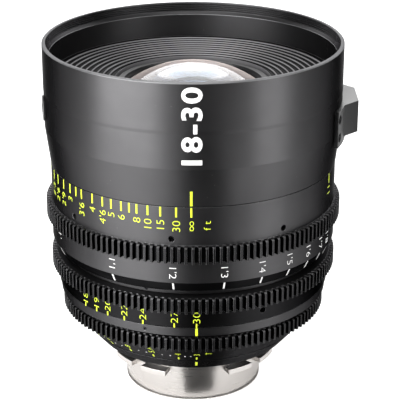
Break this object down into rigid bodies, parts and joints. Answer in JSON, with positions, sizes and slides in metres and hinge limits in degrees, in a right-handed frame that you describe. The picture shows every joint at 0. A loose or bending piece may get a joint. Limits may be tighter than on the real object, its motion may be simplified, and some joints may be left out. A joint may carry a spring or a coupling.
{
  "type": "cinema zoom lens",
  "caption": "Cinema zoom lens with geared focus, zoom and iris rings, a lugged steel mount, a support foot and a domed front glass.",
  "frame": {"origin": "centre of the rear end of the mount's barrel, on the lens axis", "axes": "+Z along the lens axis to the front glass, -Y towards the side with the scales, +X towards the support foot"},
  "size_m": [0.12, 0.1144, 0.1393],
  "materials": {
    "black": "black anodised, satin",
    "matte_black": "black anodised, matte",
    "dark_metal": "dark anodised, turned",
    "brass": "turned",
    "steel": "satin",
    "black_steel": "blackened",
    "glass": "polished, coated"
  },
  "bodies": {
    "body": {"front_barrel": "black", "ribbed_baffle": "matte_black", "main_tube": "dark_metal", "tube_screws": "steel", "centre_ring": "black", "index_ring": "black", "ring_set_screws": "black_steel", "guide_tube": "dark_metal", "guide_screws": "steel", "cam_retainer": "dark_metal", "iris_cage": "dark_metal", "iris_cover": "dark_metal", "rear_housing": "black", "housing_screws": "steel", "mount_shim": "brass", "lens_mount": "steel", "mount_screws": "steel", "rear_cell": "matte_black", "rear_inner_element": "glass", "rear_outer_element": "glass", "rear_retainer": "matte_black", "support_foot": "black", "foot_screws": "black_steel", "side_boss": "black", "focus_stop_screw": "steel"},
    "focus": {"focus_ring": "black", "focus_sleeve": "brass", "focus_screws": "steel"},
    "front_group": {"front_carrier": "dark_metal", "focus_pins": "steel", "front_cell": "matte_black", "front_element": "glass", "second_element": "glass", "third_element": "glass", "inner_spacer": "matte_black", "front_retainer": "matte_black"},
    "zoom": {"zoom_ring": "black", "cam_barrel": "dark_metal", "zoom_drive_pins": "steel"},
    "variator": {"variator_cell": "dark_metal", "variator_rollers": "steel", "variator_front_element": "glass", "variator_rear_element": "glass"},
    "compensator": {"compensator_cell": "dark_metal", "compensator_rollers": "steel", "compensator_element": "glass"},
    "iris": {"iris_ring": "black", "iris_actuator": "dark_metal", "iris_key": "steel"},
    "iris_blade_1": {"iris_blade_1": "matte_black"},
    "iris_blade_2": {"iris_blade_2": "matte_black"},
    "iris_blade_3": {"iris_blade_3": "matte_black"},
    "iris_blade_4": {"iris_blade_4": "matte_black"},
    "iris_blade_5": {"iris_blade_5": "matte_black"},
    "iris_blade_6": {"iris_blade_6": "matte_black"},
    "iris_blade_7": {"iris_blade_7": "matte_black"},
    "iris_blade_8": {"iris_blade_8": "matte_black"},
    "iris_blade_9": {"iris_blade_9": "matte_black"}
  },
  "joints": [
    {"name": "focus_turn", "type": "hinge", "parent": "body", "child": "focus", "pos_m": [0, 0, 0.076], "axis": [0, 0, 1], "range_deg": [0, 293.5]},
    {"name": "front_group_slide", "type": "slide", "parent": "body", "child": "front_group", "axis": [0, 0, 1], "range_m": [0, 0.007]},
    {"name": "zoom_turn", "type": "hinge", "parent": "body", "child": "zoom", "pos_m": [0, 0, 0.05], "axis": [0, 0, 1], "range_deg": [0, 52]},
    {"name": "variator_slide", "type": "slide", "parent": "body", "child": "variator", "axis": [0, 0, -1], "range_m": [0, 0.012]},
    {"name": "compensator_slide", "type": "slide", "parent": "body", "child": "compensator", "axis": [0, 0, 1], "range_m": [0, 0.005]},
    {"name": "iris_turn", "type": "hinge", "parent": "body", "child": "iris", "pos_m": [0, 0, 0.032], "axis": [0, 0, 1], "range_deg": [0, 74]},
    {"name": "blade_turn_1", "type": "hinge", "parent": "body", "child": "iris_blade_1", "pos_m": [0.03, 0, 0.026], "axis": [0, 0, 1], "range_deg": [0, 32.3]},
    {"name": "blade_turn_2", "type": "hinge", "parent": "body", "child": "iris_blade_2", "pos_m": [0.02298, 0.01928, 0.026], "axis": [0, 0, 1], "range_deg": [0, 32.3]},
    {"name": "blade_turn_3", "type": "hinge", "parent": "body", "child": "iris_blade_3", "pos_m": [0.00521, 0.02954, 0.026], "axis": [0, 0, 1], "range_deg": [0, 32.3]},
    {"name": "blade_turn_4", "type": "hinge", "parent": "body", "child": "iris_blade_4", "pos_m": [-0.015, 0.02598, 0.026], "axis": [0, 0, 1], "range_deg": [0, 32.3]},
    {"name": "blade_turn_5", "type": "hinge", "parent": "body", "child": "iris_blade_5", "pos_m": [-0.02819, 0.01026, 0.026], "axis": [0, 0, 1], "range_deg": [0, 32.3]},
    {"name": "blade_turn_6", "type": "hinge", "parent": "body", "child": "iris_blade_6", "pos_m": [-0.02819, -0.01026, 0.026], "axis": [0, 0, 1], "range_deg": [0, 32.3]},
    {"name": "blade_turn_7", "type": "hinge", "parent": "body", "child": "iris_blade_7", "pos_m": [-0.015, -0.02598, 0.026], "axis": [0, 0, 1], "range_deg": [0, 32.3]},
    {"name": "blade_turn_8", "type": "hinge", "parent": "body", "child": "iris_blade_8", "pos_m": [0.00521, -0.02954, 0.026], "axis": [0, 0, 1], "range_deg": [0, 32.3]},
    {"name": "blade_turn_9", "type": "hinge", "parent": "body", "child": "iris_blade_9", "pos_m": [0.02298, -0.01928, 0.026], "axis": [0, 0, 1], "range_deg": [0, 32.3]}
  ],
  "couplings": [
    {"joint": "front_group_slide", "follows": "focus_turn", "m_per_rad": 0.0013665},
    {"joint": "variator_slide", "follows": "zoom_turn", "m_per_rad": 0.013222},
    {"joint": "compensator_slide", "follows": "zoom_turn", "m_per_rad": 0.0055092},
    {"joint": "blade_turn_1", "follows": "iris_turn", "ratio": 0.43649},
    {"joint": "blade_turn_2", "follows": "iris_turn", "ratio": 0.43649},
    {"joint": "blade_turn_3", "follows": "iris_turn", "ratio": 0.43649},
    {"joint": "blade_turn_4", "follows": "iris_turn", "ratio": 0.43649},
    {"joint": "blade_turn_5", "follows": "iris_turn", "ratio": 0.43649},
    {"joint": "blade_turn_6", "follows": "iris_turn", "ratio": 0.43649},
    {"joint": "blade_turn_7", "follows": "iris_turn", "ratio": 0.43649},
    {"joint": "blade_turn_8", "follows": "iris_turn", "ratio": 0.43649},
    {"joint": "blade_turn_9", "follows": "iris_turn", "ratio": 0.43649}
  ]
}
